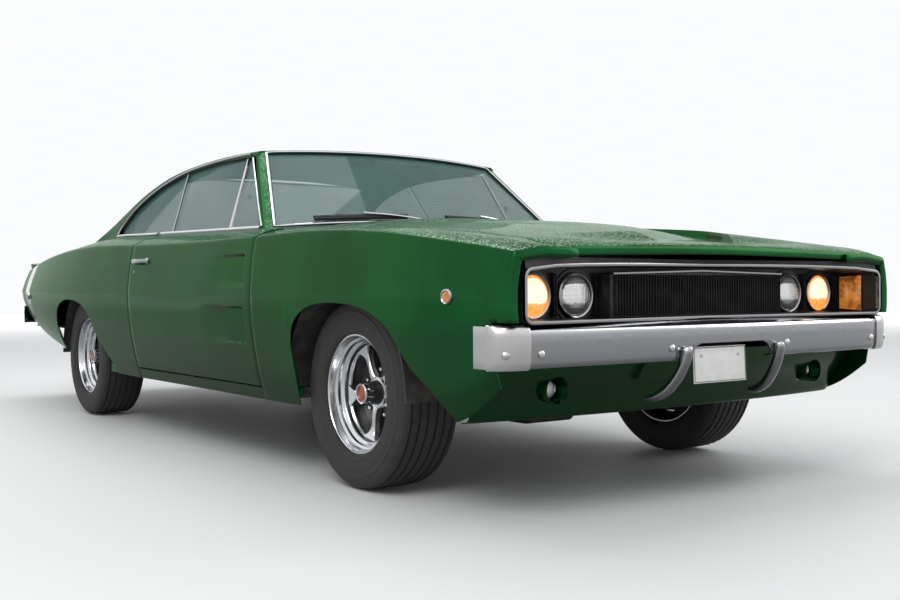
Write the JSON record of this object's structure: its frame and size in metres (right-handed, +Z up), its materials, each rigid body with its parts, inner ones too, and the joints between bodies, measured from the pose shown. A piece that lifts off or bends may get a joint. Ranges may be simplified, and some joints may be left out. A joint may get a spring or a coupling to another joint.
{
  "type": "muscle car",
  "caption": "Full-size two-door fastback coupe with tunnelled rear window, chrome bumpers, open headlamp doors and spoked chrome wheels; doors, hood, deck lid, steering and wheels move.",
  "frame": {"origin": "on the ground under the centre of the car's outline", "axes": "+Z up, -Y towards the nose, +X towards the car's left (driver's) side"},
  "size_m": [1.948, 5.285, 1.3507],
  "materials": {
    "body_paint": "gloss metallic",
    "underbody": "satin black, dusty",
    "cast_parts": "raw, dirty",
    "exhaust_steel": "weathered",
    "bright_trim": "polished",
    "wheel_chrome": "polished with dark recesses",
    "grille_black": "matte",
    "lamp_clear": "clear lens",
    "lamp_amber": "amber lens",
    "lamp_red": "red lens",
    "window_glass": "tinted, clear",
    "seat_vinyl": "grained vinyl",
    "cabin_plastic": "grained",
    "plate_blank": "blank, satin",
    "tyre_rubber": "matte"
  },
  "bodies": {
    "body": {"front_fender_right": "body_paint", "front_fender_left": "body_paint", "quarter_panel_right": "body_paint", "quarter_panel_left": "body_paint", "rocker_panels": "body_paint", "roof_panel": "body_paint", "tail_panel": "body_paint", "front_valance": "body_paint", "windshield": "window_glass", "rear_window": "window_glass", "quarter_glass": "window_glass", "tail_lamps": "lamp_red", "headlamps": "lamp_clear", "marker_lamps": "lamp_amber", "floor_pan": "underbody", "front_frame": "underbody", "wheelhouses": "underbody", "fuel_tank": "underbody", "rear_axle": "cast_parts", "engine_block": "cast_parts", "exhaust": "exhaust_steel", "grille": "grille_black", "grille_surround": "bright_trim", "front_bumper": "bright_trim", "rear_bumper": "bright_trim", "wipers": "bright_trim", "number_plates": "plate_blank", "front_seats": "seat_vinyl", "rear_seat": "seat_vinyl", "dashboard": "cabin_plastic", "steering_wheel": "cabin_plastic"},
    "hood": {"hood": "body_paint"},
    "deck_lid": {"deck_lid": "body_paint"},
    "door_right": {"door_right": "body_paint", "door_glass_right": "window_glass"},
    "door_left": {"door_left": "body_paint", "door_glass_left": "window_glass"},
    "knuckle_right": {"knuckle_right": "cast_parts"},
    "knuckle_left": {"knuckle_left": "cast_parts"},
    "wheel_front_right": {"wheel_front_right": "wheel_chrome", "tyre_front_right": "tyre_rubber"},
    "wheel_front_left": {"wheel_front_left": "wheel_chrome", "tyre_front_left": "tyre_rubber"},
    "wheel_rear_right": {"wheel_rear_right": "wheel_chrome", "tyre_rear_right": "tyre_rubber"},
    "wheel_rear_left": {"wheel_rear_left": "wheel_chrome", "tyre_rear_left": "tyre_rubber"}
  },
  "joints": [
    {"name": "hood_hinge", "type": "hinge", "parent": "body", "child": "hood", "pos_m": [0, -1.126, 0.96], "axis": [-1, 0, 0], "range_deg": [0, 55]},
    {"name": "deck_lid_hinge", "type": "hinge", "parent": "body", "child": "deck_lid", "pos_m": [0, 1.572, 0.962], "axis": [1, 0, 0], "range_deg": [0, 70]},
    {"name": "door_right_hinge", "type": "hinge", "parent": "body", "child": "door_right", "pos_m": [-0.968, -1.078, 0.62], "axis": [0, 0, 1], "range_deg": [0, 65]},
    {"name": "door_left_hinge", "type": "hinge", "parent": "body", "child": "door_left", "pos_m": [0.968, -1.078, 0.62], "axis": [0, 0, -1], "range_deg": [0, 65]},
    {"name": "steering_right", "type": "hinge", "parent": "body", "child": "knuckle_right", "pos_m": [-0.7, -1.6965, 0.332], "axis": [0, 0, 1], "range_deg": [-30, 30]},
    {"name": "steering_left", "type": "hinge", "parent": "body", "child": "knuckle_left", "pos_m": [0.7, -1.6965, 0.332], "axis": [0, 0, 1], "range_deg": [-30, 30]},
    {"name": "wheel_front_right_spin", "type": "hinge", "parent": "knuckle_right", "child": "wheel_front_right", "pos_m": [-0.7555, -1.6965, 0.332], "axis": [1, 0, 0], "continuous": true},
    {"name": "wheel_front_left_spin", "type": "hinge", "parent": "knuckle_left", "child": "wheel_front_left", "pos_m": [0.7555, -1.6965, 0.332], "axis": [1, 0, 0], "continuous": true},
    {"name": "wheel_rear_right_spin", "type": "hinge", "parent": "body", "child": "wheel_rear_right", "pos_m": [-0.752, 1.2755, 0.332], "axis": [1, 0, 0], "continuous": true},
    {"name": "wheel_rear_left_spin", "type": "hinge", "parent": "body", "child": "wheel_rear_left", "pos_m": [0.752, 1.2755, 0.332], "axis": [1, 0, 0], "continuous": true}
  ],
  "couplings": [
    {"joint": "steering_right", "follows": "steering_left", "ratio": 1}
  ]
}
